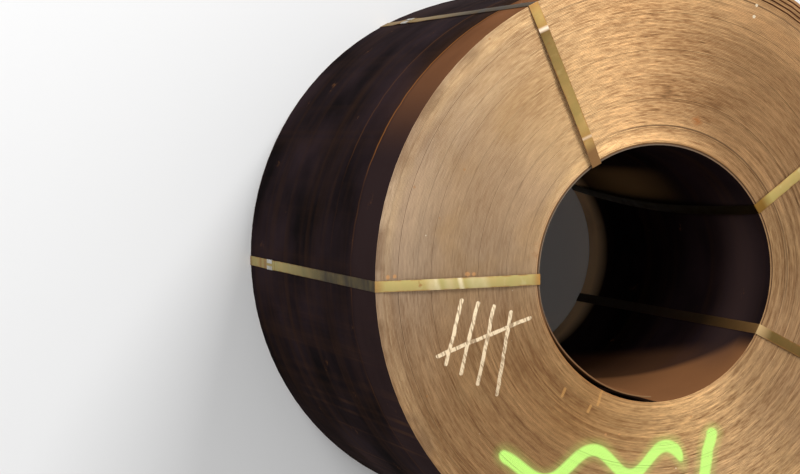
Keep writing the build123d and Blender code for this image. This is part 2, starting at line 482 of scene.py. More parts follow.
edgeLook = {
    # noise drawn out along the turns, as (along, across, detail, shift)
    "streaks": (13.0, 190.0, 2.0), "bundles": (0.35, 80.0, 3.0, 19.0),
    # noise along the strip, as (how fine, detail), and noise through the coil
    "short": (18.0, 2.0), "long": (1.4, 2.0), "cloud": (3.4, 5.0), "hue": (6.5, 3.0),
    "firstRun": 2.383, "runGrowth": 0.0126,  # metres of the first turn, and half of what each turn adds
    # colours and where they are, as (angle, half angle)
    "low": (0.310, 0.184, 0.088),
    "pink": (0.345, 0.226, 0.128), "pinkAt": (158, 72),
    "tawny": (0.310, 0.170, 0.070), "tawnyAt": (226, 52),
    "olive": (0.320, 0.191, 0.083), "oliveAt": (75, 70), "oliveShare": 0.75,
    "oliveHue": (0.50, 0.66, 0.0, 0.5),
    # where the end is painted brighter, partly burnished wear and partly a painted highlight, as (angle, half
    # width, how much)
    "worn": (0.72, 0.475, 0.225), "rubbed": ((106, 46, 0.42), (262, 26, 0.18), (286, 30, 0.22)),
    # paler rings, partly the turns' own tone and partly a painted highlight strongest at paleAt, as (radius,
    # half width, how much, how much of that far from paleAt), and a brown one
    "paleRings": ((0.407, 0.022, 0.34, 0.15), (0.775, 0.062, 0.12, 0.5), (0.855, 0.034, 0.30, 0.75)),
    "paleAt": (108, 62), "paleCloud": (0.35, 0.6, 0.5, 1.2),
    "brown": (0.21, 0.105, 0.036), "brownRing": (0.389, 0.009, 0.65), "brownAt": (75, 60),
    "brownBroken": (0.38, 0.6, 0.4, 1.3),
    # how much each noise lightens and darkens
    "bundleSwing": 0.90, "longSwing": 0.62, "streakSwing": 0.95, "shortSwing": 1.25, "cloudSwing": 0.5,
    # where the turns look alike, and how much
    "calmAt": (144, 66), "calmShare": 0.83, "calmShort": 0.30, "evenAt": (66, 34), "evenShare": 0.45,
    # where single turns stand out more, beyond one radius on one side and below another all round
    "ringedAt": (82, 52), "ringedBeyond": (0.70, 0.80), "ringedBelow": (0.60, 0.48), "ringedShare": 0.45,
    "lively": ((102, 34), (288, 34)), "shortElsewhere": 0.6,  # where short bright streaks are stronger, partly painted glints where the highlight falls
    # darker and lighter stretches, partly the end's own tone and partly painted light and shade by angle, as
    # (angle, half angle, radius, half width, how much darker)
    "stretches": (
        (135, 26, 0.80, 0.20, 0.15), (80, 20, 0.53, 0.10, 0.28), (60, 18, 0.83, 0.12, -0.28),
        (150, 20, 0.50, 0.10, -0.14), (168, 18, 0.81, 0.05, -0.20), (199, 22, 0.53, 0.10, 0.07),
        (200, 34, 0.842, 0.03, 0.18), (155, 34, 0.392, 0.016, -0.30), (232, 34, 0.410, 0.026, -0.20),
        (290, 28, 0.396, 0.022, -0.30), (129, 16, 0.64, 0.11, 0.13), (79, 18, 0.67, 0.10, 0.13),
        (3, 24, 0.44, 0.06, 0.18), (166, 18, 0.68, 0.09, -0.08), (158, 20, 0.45, 0.06, -0.09),
        (232, 18, 0.54, 0.09, -0.10),
    ),
    "darkTint": (1.04, 0.90, 0.80), "darkFrom": 0.62,
    # slight shifts of colour, as (angle, half angle, radius where it starts, where it is full, colour)
    "tints": (
        (162, 66, 0.69, 0.76, (0.99, 1.03, 1.13)), (198, 44, 0.36, 0.37, (0.99, 1.02, 1.08)),
        (256, 56, 0.62, 0.52, (1.02, 0.99, 0.91)), (72, 56, 0.36, 0.37, (1.03, 0.965, 0.95)),
    ),
    # dirt and painted shade on turns that sit low, most on the second turn, and none at cleanAt
    "gapBrown": (0.085, 0.045, 0.024), "cleanAt": (154, 64),
    "dirtBroken": (0.35, 0.6, 0.2, 0.4), "deepDirt": (0.7, 0.95, 0.0, 0.75),
    "secondTurn": (1.5, 0.5), "secondDirt": (0.5, 0.9, 0.0, 0.95), "looseEndDirt": (0.2, 0.26, 0.6, 0.0),
    # stains on the outer turns, and rust along the bore's rim, most of it behind the loose end
    "stain": (0.20, 0.115, 0.060), "stainFrom": (0.835, 0.865), "stainHue": (0.52, 0.62, 0.0, 0.55),
    "rimRust": (0.38, 0.17, 0.055), "rimFade": (0.383, 0.398, 0.7, 0.0), "rimBroken": (0.42, 0.6, 0.1, 0.7),
    "behindEndAt": (228, 50), "behindEndFade": (0.3845, 0.389, 0.9, 0.0),
    "rust": (7.0, 0.16, 0.4),  # scale, amount, share
    # specks, as (cells, size, share, shift, colour, strength)
    "rustSpecks": (26.0, 0.12, 0.06, 3.0, (0.38, 0.17, 0.055), 0.5),
    "whiteSpecks": (30.0, 0.07, 0.05, 9.0, (0.80, 0.70, 0.52), 0.7),
    "bareSteel": (0.092, 0.076, 0.060), "bareTurns": 0.95, "bareAt": (120, 125), "bareShare": 0.85,
    # burnished streaks, and the shares of the short and of the drawn noise in them and in the relief
    "burnishShares": (0.5, 0.55), "reliefShares": (0.4, 0.6), "burnished": (0.47, 0.64),
    "metal": (0.62, 0.92), "rough": (0.56, 0.44), "markRough": 0.8,
    "bump": (0.15, 0.0010), "specular": 0.2, "anisotropy": 0.60, "anisotropyTurn": 0.25,
}


def edgeMaterial():
    # the strip's mill edge, which shows as the coil's two ends
    look = edgeLook
    material, tree, finish = newMaterial("stripEdge")
    streaks, bundles = ring(tree, *look["streaks"]), ring(tree, *look["bundles"])
    streakNoise, radius, angle = streaks["Noise"], streaks["Radius"], streaks["Angle"]
    turn, shade = attribute(tree, "turn"), attribute(tree, "shade")
    run = turn * (turn * look["runGrowth"] + look["firstRun"])
    short, long = noiseAlong(run, *look["short"]), noiseAlong(run, *look["long"])
    place = objectPlace(tree)
    cloud, hue = noiseAt(place, *look["cloud"]), noiseAt(place, *look["hue"])

    # colour by place
    colour = blend(lobe(angle, *look["pinkAt"]), look["low"], look["pink"])
    colour = blend(lobe(angle, *look["tawnyAt"]), colour, look["tawny"])
    olive = most(lobe(angle, *look["oliveAt"]), remap(hue, *look["oliveHue"]))
    colour = blend(olive * look["oliveShare"], colour, look["olive"])
    # painted highlight lobes over burnished wear, and paler rings, all towards one lighter colour
    rubbed = most(*[lobe(angle, *at) * share for *at, share in look["rubbed"]])
    facing = lobe(angle, *look["paleAt"])
    pale = most(*[
        ringAt(radius, *at) * remap(facing, 0.0, 1.0, elsewhere) for *at, elsewhere in look["paleRings"]
    ])
    colour = blend(rubbed + pale * remap(cloud, *look["paleCloud"]), colour, look["worn"])

    # light and dark turns, short streaks that are partly painted glints, and stretches that are partly
    # painted light and shade
    calm = lobe(angle, *look["calmAt"])
    busy = 1 - calm * look["calmShare"] - lobe(angle, *look["evenAt"]) * look["evenShare"]
    lively = most(*[lobe(angle, *at) for at in look["lively"]])
    ringed = remap(radius, *look["ringedBeyond"]) * lobe(angle, *look["ringedAt"])
    ringed = most(ringed, remap(radius, *look["ringedBelow"]))
    lineSwing = swing(bundles["Noise"], look["bundleSwing"]) + swing(long, look["longSwing"])
    lineSwing = lineSwing * (ringed * look["ringedShare"] + 1) * busy
    # short streaks, stronger where the highlight falls, as partly painted glints
    shortSwing = swing(streakNoise, look["streakSwing"]) + swing(short, look["shortSwing"])
    shortSwing = shortSwing * (remap(lively, 0.0, 1.0, look["shortElsewhere"]) - calm * look["calmShort"])
    factor = lineSwing + shortSwing + swing(cloud, look["cloudSwing"]) + 1
    # stretches darker and lighter, partly painted light and shade by angle
    for centre, halfAngle, middle, half, darker in look["stretches"]:
        factor = factor - lobe(angle, centre, halfAngle) * ringAt(radius, middle, half) * darker
    colour = blend(1.0, colour, factor, "MULTIPLY")
    colour = blend(remap(factor, 1.0, look["darkFrom"]), colour, look["darkTint"], "MULTIPLY")
    for centre, halfAngle, start, full, tint in look["tints"]:
        colour = blend(lobe(angle, centre, halfAngle) * remap(radius, start, full), colour, tint, "MULTIPLY")
    brown = ringAt(radius, *look["brownRing"]) * lobe(angle, *look["brownAt"])
    colour = blend(brown * remap(long, *look["brownBroken"]), colour, look["brown"])

    # dirt and painted shade on low turns, a darker loose end, stains and rust
    sunk = most(shade * remap(long, *look["dirtBroken"]), remap(shade, *look["deepDirt"]))
    secondTurn = calc("COMPARE", turn, *look["secondTurn"])
    sunk = most(sunk * (1 - lobe(angle, *look["cleanAt"])), secondTurn * remap(shade, *look["secondDirt"]))
    colour = blend(sunk, colour, look["gapBrown"])
    colour = blend(remap(radius, *look["stainFrom"]) * remap(hue, *look["stainHue"]), colour, look["stain"])
    behindEnd = lobe(angle, *look["behindEndAt"]) * remap(radius, *look["behindEndFade"])
    rimRust = most(remap(radius, *look["rimFade"]) * remap(long, *look["rimBroken"]), behindEnd)
    colour = blend(rimRust, colour, look["rimRust"])
    # the loose end's edge painted darker
    colour = blend(remap(turn, *look["looseEndDirt"]), colour, look["gapBrown"])
    colour, _ = rusted(colour, *look["rust"])
    colour = speckled(colour, *look["rustSpecks"])
    colour = speckled(colour, *look["whiteSpecks"])
    bare = calc("LESS_THAN", turn, look["bareTurns"]) * lobe(angle, *look["bareAt"])
    colour = blend(bare * look["bareShare"], colour, look["bareSteel"])

    # marks, on the upper end only
    upper = calc("GREATER_THAN", streaks["Height"], coilMiddle)
    for mark in endMarks:
        mask = strokesMask(tree, mark["strokes"], mark["softEdge"], mark["waver"]) * upper
        if "broken" in mark:
            mask = mask * remap(short, *mark["broken"])
        colour = blend(mask * mark["share"], colour, mark["colour"])
    chalk = chalkMask(tree, chalkLook, turn, short) * upper
    colour = blend(chalk * chalkLook["share"], colour, chalkLook["colour"])
    spray = sprayMask(place, sprayLook) * upper
    colour = blend(spray * sprayLook["share"], colour, sprayLook["colour"])
    marked = most(chalk, spray)

    def mixed(shares):
        return short * shares[0] + streakNoise * shares[1]

    burnish = remap(mixed(look["burnishShares"]), *look["burnished"]) * lively
    fill(tree, finish, {
        "Base Color": colour,
        "Metallic": remap(burnish, 0.0, 1.0, *look["metal"]) * (1 - most(marked, rimRust, bare)),
        "Roughness": most(remap(burnish, 0.0, 1.0, *look["rough"]), marked * look["markRough"]),
        "Normal": bump(mixed(look["reliefShares"]) * busy, *look["bump"]),
        "Specular IOR Level": look["specular"],
        "Anisotropic": look["anisotropy"], "Anisotropic Rotation": look["anisotropyTurn"],
    })
    return material


skinLook = {
    # noise drawn out upright or along the turns, as (along, across, detail, shift)
    "upright": (16.0, 0.0, 3.0), "coarse": (3.5, 0.0, 2.0, 5.0), "runs": (30.0, 0.0, 3.0, 11.0),
    "levelStretch": (1.2, 1.2, 18.0), "levelDetail": 3.0, "cloud": (3.2, 5.0),
    "outsideFrom": 0.6,  # the radius that parts the outside from the bore
    "black": (0.005, 0.0034, 0.0036),
    "purple": (0.020, 0.0115, 0.0135), "purpleCloud": (0.35, 0.65),
    "brown": (0.030, 0.014, 0.008),
    "brownLevel": (0.46, 0.70, 0.0, 0.5), "brownStreak": (0.52, 0.70, 0.0, 0.3),
    # below the upper end the outside is redder with oxide, kept to the lit side at redAt as painted light, as
    # (angle, half angle), and plum elsewhere
    "redBrown": (0.172, 0.069, 0.027), "plum": (0.024, 0.0135, 0.0135), "redAt": (112, 46),
    "rimDepth": 0.222, "rimAbove": 0.03, "rimBelow": 0.015,  # how far down that reaches, and its soft border
    "belowRim": 0.12, "belowFade": 0.05, "redCloud": (0.3, 0.6, 0.7, 1.0),
    "secondDepth": 0.42,
    "wander": 0.04, "fineWander": 0.012,  # of the border and the lines
    # thin rust lines at both depths, as (half width, how much), clear at lineAt and broken elsewhere
    "orange": (0.36, 0.13, 0.026), "rimLine": (0.008, 0.60), "secondLine": (0.006, 0.16),
    "lineAt": (126, 41), "lineShare": (0.0, 0.5, 0.22, 1.0), "lineBroken": (0.40, 0.6, 0.1, 1.0),
    # stains that ran down one side, broken up over the height
    "rustRun": (0.085, 0.038, 0.018), "runsAt": (225, 42), "runsStreak": (0.52, 0.68, 0.0, 0.9),
    "runsCloud": (0.42, 0.62, 0.1, 0.75), "runsHeight": (0.05, 0.7, 0.3, 1.0),
    # painted pools of light low in the bore: how far each reaches to the sides of their middle at the upper
    # mouth, how much narrower it gets per metre, and at most how far it reaches
    "lightBrown": (0.240, 0.103, 0.041), "rubbedAngle": -105, "rubbedEdge": (-0.12, 0.06, 1.0, 0.0),
    "rubbed": (1.37, 1.56, 1.24), "rubbedCloud": (0.3, 0.6, 0.85, 1.0),
    "worn": (1.30, 0.58, 1.30), "wornDepth": (0.12, 0.50, 0.05, 0.34),
    # a painted sheen near the upper mouth and a painted patch of light deep inside, as (depth, half height,
    # share) and (angle, half)
    "sheen": (0.055, 0.033, 0.032), "sheenDepth": (0.17, 0.20, 0.75), "sheenAt": (-6, 52),
    "deep": (0.34, 0.21, 0.09), "deepDepth": (0.85, 0.45, 0.9), "deepAt": (41, 14),
    # a painted lit crescent at the lower mouth
    "tan": (0.92, 0.66, 0.40), "mouthHeight": (0.16, 0.07), "mouthCloud": (0.35, 0.55, 0.6, 1.0),
    "behindTurn": 0.99, "behindShare": 0.95,  # the turn behind the loose end is painted black as shade
    # paler just below the upper end, where turns stand proud of their neighbours, and rust brown where they
    # have sprung apart that also paints light into the gaps
    "burr": (0.150, 0.088, 0.048), "burrTurns": (2.2, 124.6), "burrDepth": (0.003, 0.012, 0.9, 0.0),
    "sprungBrown": (0.50, 0.25, 0.12), "sprungTurns": 110.0, "sprungDepth": (0.0, 0.05, 0.95, 0.0),
    "sprungAt": (75, 42),
    "rust": (9.0, 0.22, 0.3), "rough": (0.3, 0.7, 0.80, 0.66), "bump": (0.15, 0.0008), "specular": 0.004,
}


def skinMaterial():
    # mill scale on the strip's wide faces, which show on the outside and in the bore
    look = skinLook
    material, tree, finish = newMaterial("stripSkin")
    upright, coarse, runs = (ring(tree, *look[name]) for name in ("upright", "coarse", "runs"))
    radius, angle, height = upright["Radius"], upright["Angle"], upright["Height"]
    depth = coilHigh.z - height
    place = objectPlace(tree)
    drawn = put(tree, "ShaderNodeMapping", {"Vector": place, "Scale": look["levelStretch"]})[0]
    level, cloud = noiseAt(drawn, 1.0, look["levelDetail"]), noiseAt(place, *look["cloud"])
    outside = calc("GREATER_THAN", radius, look["outsideFrom"])
    inside = 1 - outside
    colour = blend(remap(cloud, *look["purpleCloud"]), look["black"], look["purple"])
    colour = blend(remap(level, *look["brownLevel"]), colour, look["brown"])
    colour = blend(remap(upright["Noise"], *look["brownStreak"]) * outside, colour, look["brown"])

    # the outside below the upper end, with its rust lines and stains
    edge = depth + swing(coarse["Noise"], look["wander"]) + swing(upright["Noise"], look["fineWander"])
    rim = look["rimDepth"]
    redder = eased(edge, rim - look["rimAbove"], rim + look["rimBelow"], 1.0, 0.0)
    below = remap(edge, rim, look["secondDepth"] + look["belowFade"], look["belowRim"], 0.0)
    redder = most(redder, below) * outside * remap(cloud, *look["redCloud"])
    # redder with oxide, kept to the lit side as painted light
    colour = blend(redder, colour, blend(lobe(angle, *look["redAt"]), look["plum"], look["redBrown"]))
    lineShare = remap(lobe(angle, *look["lineAt"]), *look["lineShare"])
    broken = most(remap(coarse["Noise"], *look["lineBroken"]), lineShare)
    for lineDepth, (half, share) in ((rim, look["rimLine"]), (look["secondDepth"], look["secondLine"])):
        line = remap(abs(edge - lineDepth), 0.0, half, share, 0.0) * outside * lineShare * broken
        colour = blend(line, colour, look["orange"])
    stained = lobe(angle, *look["runsAt"]) * remap(runs["Noise"], *look["runsStreak"])
    stained = stained * remap(cloud, *look["runsCloud"]) * remap(height, *look["runsHeight"])
    colour = blend(stained * outside, colour, look["rustRun"])

    # in the bore, painted pools of light low on one side near the upper mouth, and a painted lit crescent at
    # the lower mouth
    aside = abs(angle - math.radians(look["rubbedAngle"]))

    def rubbedShare(reach, narrows, farthest):
        limit = calc("MINIMUM", depth * -narrows + reach, farthest)
        return eased(aside - limit, *look["rubbedEdge"]) * inside

    # painted pools of light low in the bore, one reaching deeper where no lamp light falls
    worn = rubbedShare(*look["worn"]) * remap(depth, *look["wornDepth"])
    rubbed = rubbedShare(*look["rubbed"]) * remap(cloud, *look["rubbedCloud"])
    colour = blend(most(worn, rubbed), colour, look["lightBrown"])
    # a painted sheen and a painted patch of light
    for name in ("sheen", "deep"):
        patch = ringAt(depth, *look[name + "Depth"]) * lobe(angle, *look[name + "At"]) * inside
        colour = blend(patch, colour, look[name])
    # painted light: a lit tan crescent at the lower mouth
    mouth = remap(height, *look["mouthHeight"]) * inside * remap(cloud, *look["mouthCloud"])
    colour = blend(mouth, colour, look["tan"])
    turn = attribute(tree, "turn")
    # painted shade: the turn behind the loose end is black
    behind = calc("GREATER_THAN", turn, look["behindTurn"]) * inside
    colour = blend(behind * look["behindShare"], colour, look["black"])
    firstBurr, lastBurr = look["burrTurns"]
    between = calc("GREATER_THAN", turn, firstBurr) * calc("LESS_THAN", turn, lastBurr)
    colour = blend(between * remap(depth, *look["burrDepth"]), colour, look["burr"])
    # rust brown on the sprung turns, also painted light in their gaps
    sprung = calc("GREATER_THAN", turn, look["sprungTurns"]) * remap(depth, *look["sprungDepth"])
    colour = blend(sprung * lobe(angle, *look["sprungAt"]), colour, look["sprungBrown"])
    colour, _ = rusted(colour, *look["rust"])
    fill(tree, finish, {
        "Base Color": colour, "Roughness": remap(cloud, *look["rough"]), "Normal": bump(level, *look["bump"]),
        "Specular IOR Level": look["specular"],
    })
    return material


sealLook = {
    "zinc": (0.50, 0.49, 0.46), "dull": (0.30, 0.27, 0.22), "cloud": (45.0, 4.0), "dullCloud": (0.35, 0.65),
    "flake": (0.62, 0.62, 0.60), "flakeScale": 160.0, "flakeShare": 0.25, "rust": (60.0, 0.35, 0.8),
    "metal": (0.85, 0.1), "rough": (0.34, 0.55),
}


def sealMaterial():
    look = sealLook
    material, tree, finish = newMaterial("sealZinc")
    place = objectPlace(tree)
    cells = put(tree, "ShaderNodeTexVoronoi", {"Vector": place, "Scale": look["flakeScale"]})["Color"]
    flake = split(cells)[0]
    cloud = noiseAt(place, *look["cloud"])
    colour = blend(remap(cloud, *look["dullCloud"]), look["zinc"], look["dull"])
    colour = blend(flake * look["flakeShare"], colour, look["flake"])
    colour, rust = rusted(colour, *look["rust"])
    fill(tree, finish, {
        "Base Color": colour, "Metallic": remap(rust, 0.0, 1.0, *look["metal"]),
        "Roughness": remap(flake, 0.0, 1.0, *look["rough"]),
    })
    return material


stripEdge = edgeMaterial()
stripSkin = skinMaterial()
sealZinc = sealMaterial()
print("materials made")


# The strip, wound from the bore outwards

coilSizes = {
    "thickness": 0.004,
    "pitch": 0.00401,
    "width": 1.294,
    "edgeRound": 0.0007,
    "turns": 125.708,  # from the inner end to the outer one
    "firstRadius": 0.3793,  # the inner face where the strip starts
    "innerEndAngle": 267.0,
    "stations": 96,
    "groups": (3, 10, 13, 8, 14, 9, 12, 15, 11, 14, 11, 6),  # turns wound evenly, from the bore outwards
    "groupSteps": (0, -3, 1, -2, 3, 0, -2, 2, -1, 3, -3, 0),
    "groupStep": 0.0004,
    "turnWander": 0.0002,
    "alongWander": 0.0005, "alongPace": 23.0,
    "shadeFrom": -1.2, "shadeTo": 0.4, "sunkShade": 0.6,  # how dark a turn is painted, for dirt and for shade, from 0 to 1
    "sunkTurns": (14, 22, 32, 36, 50, 65, 79, 89, 106, 113, 119),
    "deepTurns": (14, 113),
    "sunkDepth": 0.0007,
    "sunkShares": (1.0, 0.25, 0.5, 1.0),  # how much of that at each stop on a turn
    "lean": 0.0142,  # how far the inner end stands off the wall, and over which part of the first turn
    "leanFrom": 0.09,
    "leanTo": 0.215,
    "springFrom": 112.0,  # the angles at which the outer turns have sprung apart
    "springPeak": 60.0,
    "springTo": 38.0,
    "restTurn": 0.117,  # where on a turn nothing springs, so sprung turns are counted from there
    "springLayers": 4,
    "layerTurns": 2,
    "layerGap": 0.0045,
    "looseTurns": 117,  # under the layers, each a little less sprung than the next one out
    "looseFade": 1.3,
    "stopsPerTurn": 4,  # places on each turn where its height is set
    "mostRise": 0.0021,
    "rimStops": (5, 6, 7),  # where the second turn sits low, behind the bore's upper rim, and is painted fully dark as shade
    "flatEdge": 0.4,  # how far a face's normal leans up where it is the strip's edge
    "seed": 11,
    "sharpAngle": 30,
}


def turnPlan(sizes):
    # at each stop how far the strip sits up or down, how dark it is painted there for dirt and shade, and how
    # far it can spring out
    draw = random.Random(sizes["seed"])
    group = [step for turns, step in zip(sizes["groups"], sizes["groupSteps"]) for _ in range(turns)]
    layered = sizes["springLayers"] * sizes["layerTurns"]
    under = layered * sizes["pitch"]  # brings the turn below the first gap out to the coil's own radius
    rises, shades, lifts = [], [], []
    for turn in range(math.ceil(sizes["turns"]) + 2):
        ownRise = group[min(turn, len(group) - 1)] * sizes["groupStep"]
        ownRise += draw.uniform(-1, 1) * sizes["turnWander"]
        ownShade = max(0.0, draw.uniform(sizes["shadeFrom"], sizes["shadeTo"]))
        sunk = 0.0
        if turn in sizes["sunkTurns"]:
            sunk = sizes["sunkDepth"]
            ownShade = 1.0 if turn in sizes["deepTurns"] else sizes["sunkShade"]
        outside = max(0, int(sizes["turns"]) - turn)  # how many turns lie outside this one
        if outside < layered:
            gaps = sizes["springLayers"] - outside // sizes["layerTurns"]
            lift = under + gaps * sizes["layerGap"]
        else:
            share = max(0.0, 1 - (outside - layered) / sizes["looseTurns"])
            lift = under * share ** sizes["looseFade"]
        for stop in range(sizes["stopsPerTurn"]):
            rise = ownRise + draw.uniform(-0.5, 0.5) * sizes["turnWander"] - sunk * sizes["sunkShares"][stop]
            shade = ownShade * draw.uniform(0.5, 1.0)
            if turn * sizes["stopsPerTurn"] + stop in sizes["rimStops"]:
                rise, shade = -sizes["mostRise"], 1.0
            rises.append(max(-sizes["mostRise"], min(sizes["mostRise"], rise)))
            shades.append(shade)
            lifts.append(lift)
    return {"rise": rises, "shade": shades, "lift": lifts}


def windingTree(sizes):
    tree, given, made = newTree("GeometryNodeTree", "stripWinding", {
        "Turn Line": "Geometry", **sizes, "Edge Material": "Material", "Skin Material": "Material",
    }, {"Geometry": "Geometry"})
    stops, turns = given["Turn Line"], given["Turns"]
    count = calc("CEIL", turns * given["Stations"])
    line = put(tree, "GeometryNodeMeshLine", {"Count": count + 1})[0]
    turn = calc("MINIMUM", put(tree, "GeometryNodeInputIndex")[0] / given["Stations"], turns)
    circle = given["End Share"] - turn
    angle, around = circle * math.tau, calc("FRACT", circle)
    stop = turn * given["Stops Per Turn"]
    passed = eased(calc("FRACT", stop), 0.0, 1.0)

    def blended(name):
        before = sampled(stops, name, calc("FLOOR", stop)) * (1 - passed)
        return sampled(stops, name, calc("CEIL", stop)) * passed + before

    shade = blended("shade")
    wander = swing(noiseAlong(turn, given["Along Pace"], 2.0, 0.5), given["Along Wander"])
    height = given["Middle Height"] + blended("rise") + wander

    # the sprung stretch is well inside one pass, counted from a place where nothing springs
    def springEase(foot):
        share = remap(around, foot, given["Spring Peak"])
        return calc("COSINE", share * math.pi) * -0.5 + 0.5

    spring = springEase(given["Spring From"]) * springEase(given["Spring To"])
    onePass = calc("FLOOR", turn - given["Rest Turn"])
    lift = sampled(stops, "lift", onePass * given["Stops Per Turn"]) * spring
    lean = eased(turn, given["Lean From"], given["Lean To"], given["Lean"], 0.0)
    radius = given["First Radius"] + given["Thickness"] * 0.5 + given["Pitch"] * turn + lift - lean
    place = joined(radius * calc("COSINE", angle), radius * calc("SINE", angle), height)
    line = put(tree, "GeometryNodeSetPosition", {"Geometry": line, "Position": place})[0]
    line = stored(stored(line, "turn", turn), "shade", shade)
    strip = sweep(line, given["Thickness"], given["Width"], given["Edge Round"], 1)
    strip = put(tree, "GeometryNodeRealizeInstances", {0: strip})[0]
    strip = put(tree, "GeometryNodeSetMaterial", {"Geometry": strip, "Material": given["Edge Material"]})[0]
    upright = split(put(tree, "GeometryNodeInputNormal")[0])[2]
    wide = put(tree, "FunctionNodeCompare", {
        0: abs(upright), 1: given["Flat Edge"],
    }, operation="LESS_THAN")[0]
    strip = put(tree, "GeometryNodeSetMaterial", {
        "Geometry": strip, "Selection": wide, "Material": given["Skin Material"],
    })[0]
    fill(tree, made, {"Geometry": strip})
    return tree


def windStrip():
    sizes = socketNames(coilSizes, (
        "firstRadius", "pitch", "turns", "stations", "stopsPerTurn", "thickness", "width", "edgeRound",
        "alongWander", "alongPace", "lean", "leanFrom", "leanTo", "restTurn", "flatEdge",
    ))
    shares = {name: coilSizes[name] / 360 for name in ("springFrom", "springPeak", "springTo")}
    sizes.update(socketNames(shares, shares))
    sizes.update({"End Share": coilSizes["innerEndAngle"] / 360, "Middle Height": coilMiddle})
    plan = turnPlan(coilSizes)
    turnLine = stopLine([(stop, 0, 0) for stop in range(len(plan["rise"]))], plan)
    strip = meshFromNodes("coilStrip", turnLine, windingTree(sizes), {
        **sizes, "Edge Material": stripEdge, "Skin Material": stripSkin,
    })
    strip.data.shade_smooth()
    strip.data.set_sharp_from_angle(angle=math.radians(coilSizes["sharpAngle"]))
    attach(strip, "root")
    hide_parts("coil")
    return strip


def mapFaces(mesh, spotOf):
    # a UV map, where spotOf gives for a face a function from a corner's vertex to its place on the map
    spots = [0.0] * (2 * len(mesh.loops))
    for face in mesh.polygons:
        spot = spotOf(face)
        for corner, i in zip(face.loop_indices, face.vertices):
            spots[2 * corner:2 * corner + 2] = spot(i)
    mesh.uv_layers.new(name="OFBake").data.foreach_set("uv", spots)


def valuesOf(mesh, name):
    return [item.value for item in mesh.attributes[name].data]


stripMap = {
    "margin": 0.004,
    # the two ends, side by side in the upper half
    "endHalf": 0.25, "endBeside": 0.5, "endMiddle": 0.75, "endClear": 1.001,
    "outsideFrom": 0.26, "outsideTall": 0.23,  # the outside, as wide as the map, and the bore below it
    "boreWide": 0.43, "boreTall": 0.24,
    "hiddenFrom": 0.45, "hiddenWide": 0.54, "hiddenFill": 0.8,  # the faces between turns, in thin rows
}


def mapStrip(mesh):
    layout, turns = stripMap, valuesOf(mesh, "turn")
    places = [vertex.co for vertex in mesh.vertices]
    margin, half = layout["margin"], coilHigh.y * layout["endClear"]
    last, rows = coilSizes["turns"] - 1, math.ceil(coilSizes["turns"])

    def spotOf(face):
        middle = sum(turns[i] for i in face.vertices) / len(face.vertices)
        outside = face.normal.dot(face.center * Vector((1, 1, 0))) > 0
        flat = abs(face.normal.z) > coilSizes["flatEdge"]
        beside = layout["endBeside"] if face.normal.z < 0 else 0.0
        row = math.floor(middle)

        def spot(i):
            place, turn = places[i], turns[i]
            up = (place.z - coilLow.z) / coilSizes["width"]
            if flat:
                u = layout["endHalf"] * (1 + place.x / half) + beside
                v = layout["endMiddle"] + layout["endHalf"] * place.y / half
            elif outside and middle > last:
                u = margin + (turn - last) * (1 - 2 * margin)
                v = layout["outsideFrom"] + up * layout["outsideTall"]
            elif not outside and middle < 1:
                u, v = margin + turn * layout["boreWide"], margin + up * layout["boreTall"]
            else:
                u = layout["hiddenFrom"] + (turn - row) * layout["hiddenWide"]
                share = (row + (rows if outside else 0) + layout["hiddenFill"] * up) / (2 * rows)
                v = margin + share * layout["boreTall"]
            return u, v
        return spot

    mapFaces(mesh, spotOf)


coilStrip = windStrip()
mapStrip(coilStrip.data)
print("strip wound,", len(coilStrip.data.polygons), "faces")


# Bands

bandSizes = {
    "width": 0.03175,
    "thickness": 0.001,
    "edgeRound": 0.0003,
    "clear": 0.0003,  # between a band and what it lies on
    "bend": 0.0014,
    "spacing": 0.014,
    "lapBottom": 0.190,
    "lapLength": 0.110,
    "lapSlope": 0.060,
    "sealBehind": 0.00135,
    "notchPitch": 0.022,
    "notchMouth": 0.0079,
    "notchRoot": 0.0045,
    "notchDepth": 0.004,
    "sagPieces": 10, "sagBend": 0.3,
    "arcPieces": 6, "arcReach": 0.45, "leastReach": 1e-5,
    "sharpTurn": 0.8, "slightTurn": 0.03,  # an arc of less, in radians, has half the pieces, or marks no bend
    "ripple": 0.0007, "rippleCells": 7.0, "rippleSwing": 1.6, "rippleApart": 7.3,
    "twist": 1.6, "twistShift": 9,  # at most in degrees, and so that it doesn't follow the ripple
    "stiffNear": 0.12, "stiffByLap": 0.1,  # how far from a bend and from the lap the band lies as it likes
    "floorBelow": 0.02,  # below this it is pressed flat under the coil
    "bendMark": 0.03,
    "mapRows": 8, "mapMargin": 0.02, "mapEdge": 0.001, "mapFill": 0.42,
    "sharpAngle": 35,
}

